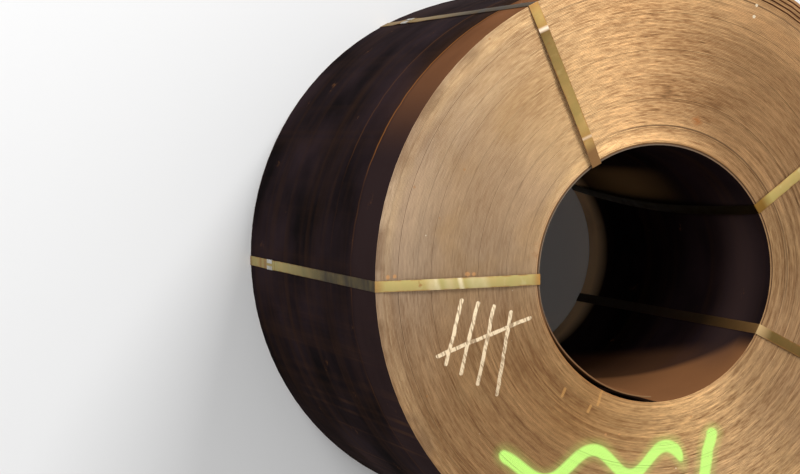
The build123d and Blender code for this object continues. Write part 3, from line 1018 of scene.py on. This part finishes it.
bandLooks = {
    "upper_left": {
        "outerAngle": 117.1, "boreAngle": 122.1, "lowerAngle": 122.1, "sag": 0.0, "lift": 0.0,
        "wax": (0.330, 0.207, 0.069), "green": (0.262, 0.180, 0.056), "pale": (0.46, 0.32, 0.13),
        "nearBore": (0.168, 0.086, 0.034), "nearShare": 2.4, "nearReach": 0.078,
        "mouth": (0.09, 0.05, 0.02), "dirt": (0.03, 0.02, 0.012), "cleanDepth": 0.2,
        "patchScale": 1.3, "paleShare": 0.35, "rust": 0.30, "edgeRust": 0.7, "bendRust": 0.5, "metal": 0.45,
        "buriedMetal": 0.0, "grime": (0.012, 0.007, 0.004), "grimeTop": 0.93,
        # painted shade past the first kink and painted light towards the bore, as (radius from, to, darker,
        # paler)
        "tones": (0.800, 0.470, 0.66, 1.32), "beyond": 0.812, "toneBeyond": 1.4, "bars": (),
    },
    "left": {
        "outerAngle": 181.1, "boreAngle": 181.1, "lowerAngle": 181.1, "sag": 0.0, "lift": 0.0080,
        "wax": (0.455, 0.335, 0.127), "green": (0.388, 0.333, 0.117), "pale": (0.76, 0.64, 0.41),
        "nearBore": (0.42, 0.20, 0.045), "nearShare": 0.6, "nearReach": 0.018,
        "mouth": (0.10, 0.06, 0.03), "dirt": (0.04, 0.027, 0.015), "cleanDepth": 0.3,
        "patchScale": 1.1, "paleShare": 0.15, "rust": 0.22, "edgeRust": 0.75, "bendRust": 0.8, "metal": 0.25,
        "buriedMetal": 0.0, "grime": (0.020, 0.012, 0.006), "grimeTop": 0.93,
        "bars": (  # pale places across the band, as (radius, half width, how much)
            (0.716, 0.030, 0.40), (0.703, 0.013, 0.50), (0.665, 0.030, 0.25),
            (0.630, 0.012, 1.0), (0.590, 0.030, 0.30), (0.558, 0.024, 0.30),
        ),
    },
    "upper_right": {
        "outerAngle": 33.6, "boreAngle": 29.4, "lowerAngle": 36.0, "sag": 0.032, "lift": 0.0015,
        "wax": (0.440, 0.302, 0.108), "green": (0.385, 0.300, 0.096), "pale": (0.56, 0.47, 0.24),
        "nearBore": (0.185, 0.095, 0.019), "nearShare": 1.8, "nearReach": 0.062,
        "mouth": (0.006, 0.004, 0.003), "dirt": (0.004, 0.003, 0.002), "cleanDepth": 0.1,
        "patchScale": 1.2, "paleShare": 0.4, "rust": 0.25, "edgeRust": 0.7, "bendRust": 0.95, "metal": 0.25,
        "buriedMetal": 1.0, "grime": (0.05, 0.032, 0.014), "grimeTop": 0.75, "bars": (),
    },
    "lower_right": {
        "outerAngle": -27.3, "boreAngle": -27.3, "lowerAngle": -27.3, "sag": 0.0, "lift": 0.003,
        "wax": (0.152, 0.083, 0.026), "green": (0.124, 0.079, 0.023), "pale": (0.24, 0.16, 0.065),
        "nearBore": (0.47, 0.315, 0.145), "nearShare": 1.2, "nearReach": 0.052,
        "mouth": (0.230, 0.122, 0.042), "dirt": (0.020, 0.011, 0.006), "cleanDepth": 0.36,
        "patchScale": 1.0, "paleShare": 0.5, "rust": 0.35, "edgeRust": 0.7, "bendRust": 0.5, "metal": 0.35,
        "buriedMetal": 0.0, "grime": (0.05, 0.032, 0.014), "grimeTop": 0.75, "bars": (),
    },
}

# what all bands share
waxLook = {
    "alongScale": 12.0, "acrossScale": 0.09,
    "patchNoise": (4.0, 0.65), "paleScale": 2.3, "paleNoise": (3.0, 0.5, 2.4),
    "greenPatches": (0.35, 0.65), "palePatches": (0.56, 0.70),
    "rustScale": 24.0, "rustShare": 0.85, "edgeFrom": 0.72, "edgeBroken": (0.40, 0.56),
    "bendBroken": (0.3, 0.55, 0.4, 1.0),
    "topBand": 0.002, "boreBand": 0.002, "outsideFrom": 0.8, "buriedShare": 0.92,
    "grimeDepth": (0.45, 0.95), "grimeFoot": 0.30, "grimeBroken": (0.3, 0.6, 0.85, 1.05),
    "barSlant": 0.004, "barBroken": (0.40, 0.55, 0.6, 1.0),
    "glint": (1.0, 0.8, 0.6), "glintFrom": (0.35, 0.9), "glintShare": 0.85, "glintGloss": 0.1,
    "rough": (0.3, 0.7, 0.58, 0.40), "rustMetal": 0.05, "bump": (0.3, 0.0004), "specular": 0.03,
}

slackBand = {
    "name": "upper_left",
    "firstKink": 0.079, "firstHeight": 0.0052,
    "crown": 0.420, "crownHeight": 0.0120,
    "boreHeight": 0.0058,
    "kinkBend": 0.006,
    # its kinks glint, by how far they are from the outer edge
    "glintFrom": 0.02, "glintTo": 0.46, "firstGlint": 1.0, "crownFrom": 0.2, "crownGlint": 0.62,
}


def bandMaterial(name, look):
    # waxed steel band, rusting from its edges and where it bears on the coil
    wax = waxLook
    material, tree, finish = newMaterial(name)
    along, across = attribute(tree, "along"), attribute(tree, "across")
    point = joined(along * wax["alongScale"], across * wax["acrossScale"])
    patches = noiseAt(point, look["patchScale"], *wax["patchNoise"])
    pale = noiseAt(point, look["patchScale"] * wax["paleScale"], *wax["paleNoise"])
    colour = blend(remap(patches, *wax["greenPatches"]), look["wax"], look["green"])
    colour = blend(remap(pale, *wax["palePatches"], 0.0, look["paleShare"]), colour, look["pale"])
    rust = useGroup(tree, rustPatches, scale=wax["rustScale"], amount=look["rust"])
    edge = remap(abs(across), wax["edgeFrom"], 1.0, 0.0, look["edgeRust"]) * remap(pale, *wax["edgeBroken"])
    worn = attribute(tree, "bend") * look["bendRust"] * remap(patches, *wax["bendBroken"])
    spread = most(rust["Mask"] * wax["rustShare"], edge, worn)
    colour = blend(spread, colour, rust["Color"])

    # another colour where it comes to the bore; inside the bore the mouth's colour, a painted light on the
    # lower right band, fades to painted shade deeper down; painted shade on the outside
    place = useGroup(tree, ringPattern)
    radius, depth = place["Radius"], coilHigh.z - place["Height"]
    onTop = calc("GREATER_THAN", place["Height"], coilHigh.z - wax["topBand"])
    below = 1 - onTop
    boreRadius = coilSizes["firstRadius"]
    near = remap(radius, boreRadius, boreRadius + look["nearReach"], look["nearShare"], 0.0)
    colour = blend(near * onTop, colour, look["nearBore"])
    buried = calc("LESS_THAN", radius, boreRadius + wax["boreBand"]) * below
    # inside the bore, the mouth's colour fading to painted shade deeper down
    dirt = blend(remap(depth, 0.0, look["cleanDepth"]), look["mouth"], look["dirt"])
    colour = blend(buried * wax["buriedShare"], colour, dirt)
    outside = calc("GREATER_THAN", radius, wax["outsideFrom"]) * below
    # painted shade on the outside, darkest near the top
    shadedShare = outside * remap(depth, *wax["grimeDepth"], look["grimeTop"], wax["grimeFoot"])
    shadedShare = shadedShare * remap(patches, *wax["grimeBroken"])
    colour = blend(shadedShare, colour, look["grime"])
    # painted shade and light along the slack band
    if "tones" in look:
        beyond = calc("GREATER_THAN", radius, look["beyond"]) * look["toneBeyond"]
        colour = blend(onTop, colour, most(remap(radius, *look["tones"]), beyond), "MULTIPLY")
    for barRadius, half, share in look["bars"]:
        bar = ringAt(across * wax["barSlant"] + radius, barRadius, half, share) * onTop
        colour = blend(bar * remap(pale, *wax["barBroken"]), colour, look["pale"])
    glint = remap(attribute(tree, "glint"), *wax["glintFrom"])
    colour = blend(glint * wax["glintShare"], colour, wax["glint"])
    metal = most(remap(spread, 0.0, 1.0, look["metal"], wax["rustMetal"]), buried * look["buriedMetal"])
    fill(tree, finish, {
        "Base Color": colour, "Metallic": metal * (1 - shadedShare),
        "Roughness": remap(patches, *wax["rough"]) - glint * wax["glintGloss"],
        "Normal": bump(pale, *wax["bump"]), "Specular IOR Level": wax["specular"],
    })
    return material


def stripFace(angle, outer):
    # the strip's face that a band lies on, outside or in the bore
    turn = (coilSizes["innerEndAngle"] - angle) / 360 % 1
    if outer:
        turn += math.floor(coilSizes["turns"] - turn)
        return coilSizes["firstRadius"] + coilSizes["pitch"] * turn + coilSizes["thickness"]
    return coilSizes["firstRadius"] + coilSizes["pitch"] * turn


def outwards(angle, radius=1.0, height=0.0):
    return Vector((math.cos(math.radians(angle)) * radius, math.sin(math.radians(angle)) * radius, height))


def sideways(angle):
    return Vector((-math.sin(math.radians(angle)), math.cos(math.radians(angle)), 0))


def bandCorners(name):
    # each corner of a band's route is (place, direction across the band, bend radius, notch depth)
    sizes, look = bandSizes, bandLooks[name]
    half = sizes["thickness"] / 2
    rest = sizes["clear"] + half
    close = stripFace(look["outerAngle"], True) + rest
    inner = close + sizes["sealBehind"]
    boreFace = stripFace(look["boreAngle"], False)
    boreClose = math.sqrt(boreFace**2 - (sizes["width"] / 2) ** 2) - rest
    upper, level = coilHigh.z + rest, Vector((1, 1, 0))
    lapBottom, lapTop = sizes["lapBottom"], sizes["lapBottom"] + sizes["lapLength"]
    outerSide, boreSide, lowerSide = (sideways(look[end + "Angle"]) for end in ("outer", "bore", "lower"))
    bend, slope = sizes["bend"], sizes["lapSlope"] / 2
    isSlack = name == slackBand["name"]

    def onWall(radius, height, bendRadius=0.0, notch=0.0):
        return outwards(look["outerAngle"], radius, height), outerSide, bendRadius, notch

    notches = []
    for middle in (-sizes["notchPitch"] / 2, sizes["notchPitch"] / 2):
        for off, notch in (
            (-sizes["notchMouth"], 0.0), (-sizes["notchRoot"], sizes["notchDepth"]),
            (sizes["notchRoot"], sizes["notchDepth"]), (sizes["notchMouth"], 0.0),
        ):
            notches.append(((lapBottom + lapTop) / 2 + middle + off / 2, notch))

    def lapped(radius):
        return [onWall(radius, height, 0.0, notch) for height, notch in notches]

    start = outwards(look["outerAngle"], close, upper)
    finish = outwards(look["boreAngle"], boreClose, upper + (slackBand["boreHeight"] if isSlack else 0.0))
    run = ((finish - start) * level).normalized()
    faceSide = Vector((run.y, -run.x, 0))

    def onFace(distance, height):
        place = start * level + run * distance + Vector((0, 0, upper + height))
        return place, faceSide, slackBand["kinkBend"], 0.0

    corners = [onWall(inner, lapBottom), *lapped(inner), onWall(inner, lapTop, slope)]
    corners += [onWall(close, lapTop + sizes["lapSlope"], slope), onWall(close, upper, bend)]
    if isSlack:
        corners += [onFace(slackBand["firstKink"], slackBand["firstHeight"])]
        corners += [onFace(slackBand["crown"], slackBand["crownHeight"])]
    corners += [(finish, faceSide.lerp(boreSide, 0.5).normalized(), bend, 0.0)]
    foot = outwards(look["lowerAngle"], boreClose, half)
    pieces = sizes["sagPieces"] if look["sag"] else 1
    for piece in range(1, pieces):
        share = piece / pieces
        hang = Vector((0, -math.sin(share * math.pi) * look["sag"], 0))
        side = boreSide.lerp(lowerSide, share).normalized()
        corners += [(finish.lerp(foot, share) + hang, side, sizes["sagBend"], 0.0)]
    corners += [(foot, lowerSide, bend, 0.0), onWall(close, half, bend)]
    top = inner + sizes["thickness"]
    corners += [onWall(close, lapBottom - sizes["lapSlope"], slope), onWall(top, lapBottom, slope)]
    return corners + lapped(top) + [onWall(top, lapTop)]


def bentRoute(corners):
    # stops along the route, with an arc at each corner that has a bend radius
    stops = [(*corners[0][:2], corners[0][3], 0.0)]
    for before, here, after in zip(corners, corners[1:], corners[2:]):
        place, side, radius, notch = here
        come, leave = (place - before[0]), (after[0] - place)
        turn = come.angle(leave)
        reach = min(radius * math.tan(turn / 2), bandSizes["arcReach"] * min(come.length, leave.length))
        if reach < bandSizes["leastReach"]:
            stops.append((place, side, notch, 0.0))
            continue
        first, last = place - come.normalized() * reach, place + leave.normalized() * reach
        pieces = bandSizes["arcPieces"] if turn > bandSizes["sharpTurn"] else bandSizes["arcPieces"] // 2
        for step in range(pieces + 1):
            share = step / pieces
            curved = first.lerp(place, share).lerp(place.lerp(last, share), share)
            stops.append((curved, side, notch, 1.0 if turn > bandSizes["slightTurn"] else 0.0))
    stops.append((*corners[-1][:2], corners[-1][3], 0.0))
    return stops


def filledRoute(stops, spacing):
    # more stops on the long straight stretches
    filled = [stops[0]]
    for before, after in zip(stops, stops[1:]):
        pieces = max(1, round((after[0] - before[0]).length / spacing))
        for step in range(1, pieces + 1):
            share = step / pieces
            filled.append((
                before[0].lerp(after[0], share),
                before[1].lerp(after[1], share).normalized(),
                before[2] + (after[2] - before[2]) * share,
                after[3] if step == pieces else 0.0,
            ))
    return filled


def bandTree(sizes):
    # a flat band along a line of stops, each with its own directions across and out of the band
    tree, given, made = newTree("GeometryNodeTree", "flatBand", {
        "Stops": "Geometry", "Stop Count": 2, **sizes, "Material": "Material",
    }, {"Geometry": "Geometry"})
    stops = given["Stops"]
    line = put(tree, "GeometryNodeMeshLine", {"Count": given["Stop Count"], "Offset": (1.0, 0.0, 0.0)})[0]
    band = sweep(line, given["Width"], given["Thickness"], given["Edge Round"], 2)
    position = put(tree, "GeometryNodeInputPosition")[0]
    along, across, out = split(position)
    station = calc("ROUND", along)
    centre = put(tree, "GeometryNodeSampleIndex", {
        "Geometry": stops, "Value": position, "Index": station,
    }, data_type="FLOAT_VECTOR")[0]
    facing = sampled(stops, "out", station, "FLOAT_VECTOR")
    reach = (abs(across) - sampled(stops, "notch", station)) * calc("SIGN", across)
    side = vectorCalc("SCALE", sampled(stops, "side", station, "FLOAT_VECTOR"), scale=reach)
    place = vectorCalc("ADD", vectorCalc("ADD", centre, side), vectorCalc("SCALE", facing, scale=out))
    band = stored(band, "across", across / (given["Width"] * 0.5))
    for name in ("along", "bend", "glint"):
        band = stored(band, name, sampled(stops, name, station))
    band = stored(band, "facing", facing, "FLOAT_VECTOR")
    band = put(tree, "GeometryNodeSetPosition", {"Geometry": band, "Position": place})[0]
    band = put(tree, "GeometryNodeRealizeInstances", {0: band})[0]
    band = put(tree, "GeometryNodeSetMaterial", {"Geometry": band, "Material": given["Material"]})[0]
    fill(tree, made, {"Geometry": band})
    return tree


bandSockets = socketNames(bandSizes, ("width", "thickness", "edgeRound"))
flatBand = bandTree(bandSockets)


def ripple(seed, along):
    # smooth, from 0 to 1
    wave = noise.noise(Vector((along * bandSizes["rippleCells"], seed * bandSizes["rippleApart"], 0.5)))
    return 0.5 + 0.5 * max(-1.0, min(1.0, bandSizes["rippleSwing"] * wave))


def mapBand(mesh, length):
    # the band cut into equal lengths, its outer and inner faces side by side
    alongs, widths = valuesOf(mesh, "along"), valuesOf(mesh, "across")
    outs = [item.vector.copy() for item in mesh.attributes["facing"].data]
    rows, margin, edge = (bandSizes[key] for key in ("mapRows", "mapMargin", "mapEdge"))

    def spotOf(face):
        middle = sum(alongs[i] for i in face.vertices) / len(face.vertices)
        row = min(rows - 1, math.floor(middle / length * rows))
        out = sum((outs[i] for i in face.vertices), Vector())
        down = row + (0 if face.normal.dot(out) > 0 else rows)

        def spot(i):
            u = margin + (1 - 2 * margin) * (alongs[i] / length * rows - row)
            v = (down + 0.5 + bandSizes["mapFill"] * widths[i]) / (2 * rows)
            return min(1 - edge, max(edge, u)), v
        return spot

    mapFaces(mesh, spotOf)


def windBand(number, name):
    sizes, look = bandSizes, bandLooks[name]
    stops = filledRoute(bentRoute(bandCorners(name)), sizes["spacing"])
    places = [stop[0] for stop in stops]
    alongs = [0.0]
    for before, after in zip(places, places[1:]):
        alongs.append(alongs[-1] + (after - before).length)
    lapReach = sizes["lapLength"] + sizes["lapSlope"]
    moved, sides, outs, bends = [], [], [], []
    bent = [alongs[i] for i, stop in enumerate(stops) if stop[3] > 0]
    for i, (place, side, _, _) in enumerate(stops):
        tangent = (places[min(i + 1, len(places) - 1)] - places[max(i - 1, 0)]).normalized()
        out = side.cross(tangent).normalized()
        near = min((abs(alongs[i] - spot) for spot in bent), default=1.0)
        pastLap = max(0.0, min(alongs[i], alongs[-1] - alongs[i]) - lapReach)
        free = min(1.0, near / sizes["stiffNear"]) * min(1.0, pastLap / sizes["stiffByLap"])
        if place.z < sizes["floorBelow"]:
            free = 0.0
        lifted = ripple(number, alongs[i]) * sizes["ripple"] * free
        if place.z > coilHigh.z:
            lifted += look["lift"] * free
        twisted = (ripple(number + sizes["twistShift"], alongs[i]) - 0.5) * 2 * sizes["twist"]
        turned = math.radians(twisted * free)
        turn = Matrix.Rotation(turned, 3, tangent)
        lean = abs(math.sin(turned)) * sizes["width"] / 2  # keeps the low edge off the coil
        moved.append(place + out * (lifted + lean))
        sides.append(turn @ side)
        outs.append(turn @ out)
        bends.append(max(0.0, 1 - near / sizes["bendMark"]))
    glints = [0.0] * len(stops)
    for i, place in enumerate(places):
        if name == slackBand["name"] and place.z > coilHigh.z and stops[i][3] > 0:
            distance = (place - outwards(look["outerAngle"], coilHigh.x, place.z)).length
            if slackBand["glintFrom"] < distance < slackBand["glintTo"]:
                glints[i] = slackBand["firstGlint" if distance < slackBand["crownFrom"] else "crownGlint"]
    base = stopLine(moved, {
        "notch": [stop[2] for stop in stops], "along": alongs, "bend": bends, "glint": glints,
    }, {"side": sides, "out": outs})
    band = meshFromNodes("band_" + name, base, flatBand, {
        **bandSockets, "Stop Count": len(stops), "Material": bandMaterial("band_" + name, look),
    })
    mapBand(band.data, alongs[-1])
    band.data.shade_smooth()
    band.data.set_sharp_from_angle(angle=math.radians(sizes["sharpAngle"]))
    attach(band, "root")
    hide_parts("strap_" + name)


for bandNumber, bandName in enumerate(bandLooks):
    windBand(bandNumber, bandName)
print("bands laid")


# Seals

sealSizes = {
    "length": 0.057,
    "wall": 0.0012,
    "play": 0.00015,
    "mouth": 0.009,
    "fold": 0.0012, "foldPieces": 4,
    "rings": 44,
    "crimpWiden": 0.0006,  # how much wider a crimp is than the band's notch
    "flatHalf": 0.008, "crimpFrom": 0.004,  # the middle that stays flat, and over what the crimp begins
    "sharpAngle": 40,
}


def sealOutline():
    # the sleeve's section as (across, out), folded round two layers of band, open on the outside
    wall, play = sealSizes["wall"], sealSizes["play"]
    fold, mouth, pieces = sealSizes["fold"], sealSizes["mouth"] / 2, sealSizes["foldPieces"]
    halfDepth = bandSizes["thickness"] + play + wall / 2
    x, y = bandSizes["width"] / 2 + play + wall / 2 - fold, halfDepth - fold
    middle = [(mouth, halfDepth, 0.0, 1.0)]
    for centreX, centreY, startAngle in ((x, y, 90), (x, -y, 0), (-x, -y, -90), (-x, y, -180)):
        for step in range(pieces + 1):
            angle = math.radians(startAngle - 90 * step / pieces)
            leanX, leanY = math.cos(angle), math.sin(angle)
            middle.append((centreX + fold * leanX, centreY + fold * leanY, leanX, leanY))
    middle.append((-mouth, halfDepth, 0.0, 1.0))
    outer = [(x + leanX * wall / 2, y + leanY * wall / 2) for x, y, leanX, leanY in middle]
    inner = [(x - leanX * wall / 2, y - leanY * wall / 2) for x, y, leanX, leanY in middle]
    return outer + inner[::-1]


def foldSeal(name):
    sizes, angle = sealSizes, bandLooks[name]["outerAngle"]
    half = sizes["length"] / 2
    radius = stripFace(angle, True) + bandSizes["clear"] + bandSizes["sealBehind"] + bandSizes["thickness"]
    centre = outwards(angle, radius, bandSizes["lapBottom"] + bandSizes["lapLength"] / 2)
    side, out = sideways(angle), outwards(angle)
    outline = sealOutline()
    count = len(outline)
    shape = bmesh.new()
    rings = []
    mouthHalf, rootHalf = bandSizes["notchMouth"] / 2 + sizes["crimpWiden"], bandSizes["notchRoot"] / 2
    for step in range(sizes["rings"] + 1):
        height = half * (2 * step / sizes["rings"] - 1)
        off = abs(abs(height) - bandSizes["notchPitch"] / 2)
        pushed = max(0.0, min(1.0, (mouthHalf - off) / (mouthHalf - rootHalf))) * bandSizes["notchDepth"]
        row = []
        for x, y in outline:
            share = max(0.0, min(1.0, (abs(x) - sizes["flatHalf"]) / sizes["crimpFrom"]))
            moved = x - math.copysign(pushed * share, x)
            row.append(shape.verts.new(centre + side * moved + out * y + Vector((0, 0, height))))
        rings.append(row)
    for lower, upper in zip(rings, rings[1:]):
        for i in range(count):
            j = (i + 1) % count
            shape.faces.new((lower[i], lower[j], upper[j], upper[i]))
    for row, flip in ((rings[0], True), (rings[-1], False)):
        for i in range(count // 2 - 1):
            corners = [row[i], row[i + 1], row[-i - 2], row[-i - 1]]
            shape.faces.new(corners if flip else corners[::-1])
    bmesh.ops.recalc_face_normals(shape, faces=shape.faces)
    mesh = bpy.data.meshes.new("seal_fold_" + name)
    shape.to_mesh(mesh)
    shape.free()
    mesh.materials.append(sealZinc)
    mesh.shade_smooth()
    mesh.set_sharp_from_angle(angle=math.radians(sizes["sharpAngle"]))
    piece = linkToScene("seal_fold_" + name, mesh)
    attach(piece, "root")
    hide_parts("seal_" + name)


for bandName in bandLooks:
    foldSeal(bandName)
print("seals folded")


# Floor, lights and camera

stageLook = {
    "floorColour": (0.8, 0.8, 0.8), "floorRough": 0.8,
    "floorSize": 40.0,
    "worldLevel": 0.55,
    # lamps as (power, size, place)
    "lamps": {"keyLamp": (480.0, 3.0, (1.9, 5.9, 7.2)), "fillLamp": (225.0, 3.5, (-4.8, 3.9, 5.2))},
}

cameraView = {
    "lens": 94.03,
    "sensor": 36.0,
    "farthest": 100.0,
    "place": (-2.8149, 0.4233, 6.8609),
    "forward": (0.338441, -0.050706, -0.939621),
    "up": (0.017183, 0.998714, -0.047706),
}


def addFloor():
    half = stageLook["floorSize"] / 2
    mesh = bpy.data.meshes.new("floor")
    corners = [(-half, -half, 0), (half, -half, 0), (half, half, 0), (-half, half, 0)]
    mesh.from_pydata(corners, [], [range(4)])
    floor = linkToScene("floor", mesh)
    material, tree, finish = newMaterial("floorPaint")
    fill(tree, finish, {"Base Color": stageLook["floorColour"], "Roughness": stageLook["floorRough"]})
    mesh.materials.append(material)


def addWorld():
    # an even light, seen as white by the camera and in reflections
    world = bpy.data.worlds.new("studio")
    bpy.context.scene.world = world
    world.use_nodes = True
    tree = world.node_tree
    tree.nodes.clear()
    rays = put(tree, "ShaderNodeLightPath")
    seen = most(*[rays[name] for name in ("Is Camera Ray", "Is Glossy Ray", "Is Transmission Ray")])
    strength = remap(seen, 0.0, 1.0, stageLook["worldLevel"], 1.0)
    background = put(tree, "ShaderNodeBackground", {"Color": (1, 1, 1), "Strength": strength})
    put(tree, "ShaderNodeOutputWorld", {"Surface": background[0]})


def addLamp(name, power, size, place):
    lamp = bpy.data.lights.new(name, "AREA")
    lamp.energy, lamp.size = power, size
    holder = linkToScene(name, lamp)
    holder.location = place
    holder.rotation_mode = "QUATERNION"
    holder.rotation_quaternion = (Vector((0, 0, coilHigh.z)) - Vector(place)).to_track_quat("-Z", "Y")


def addCamera():
    lensBody = bpy.data.cameras.new("camera")
    lensBody.lens, lensBody.sensor_width = cameraView["lens"], cameraView["sensor"]
    lensBody.clip_end = cameraView["farthest"]
    camera = linkToScene("camera", lensBody)
    forward = Vector(cameraView["forward"]).normalized()
    right = forward.cross(Vector(cameraView["up"])).normalized()
    turned = Matrix((right, right.cross(forward), -forward)).transposed().to_4x4()
    camera.matrix_world = Matrix.Translation(cameraView["place"]) @ turned
    bpy.context.scene.camera = camera


addFloor()
addWorld()
for lampName, lampValues in stageLook["lamps"].items():
    addLamp(lampName, *lampValues)
addCamera()
bpy.context.scene.view_settings.view_transform = "Standard"
print("stage set")
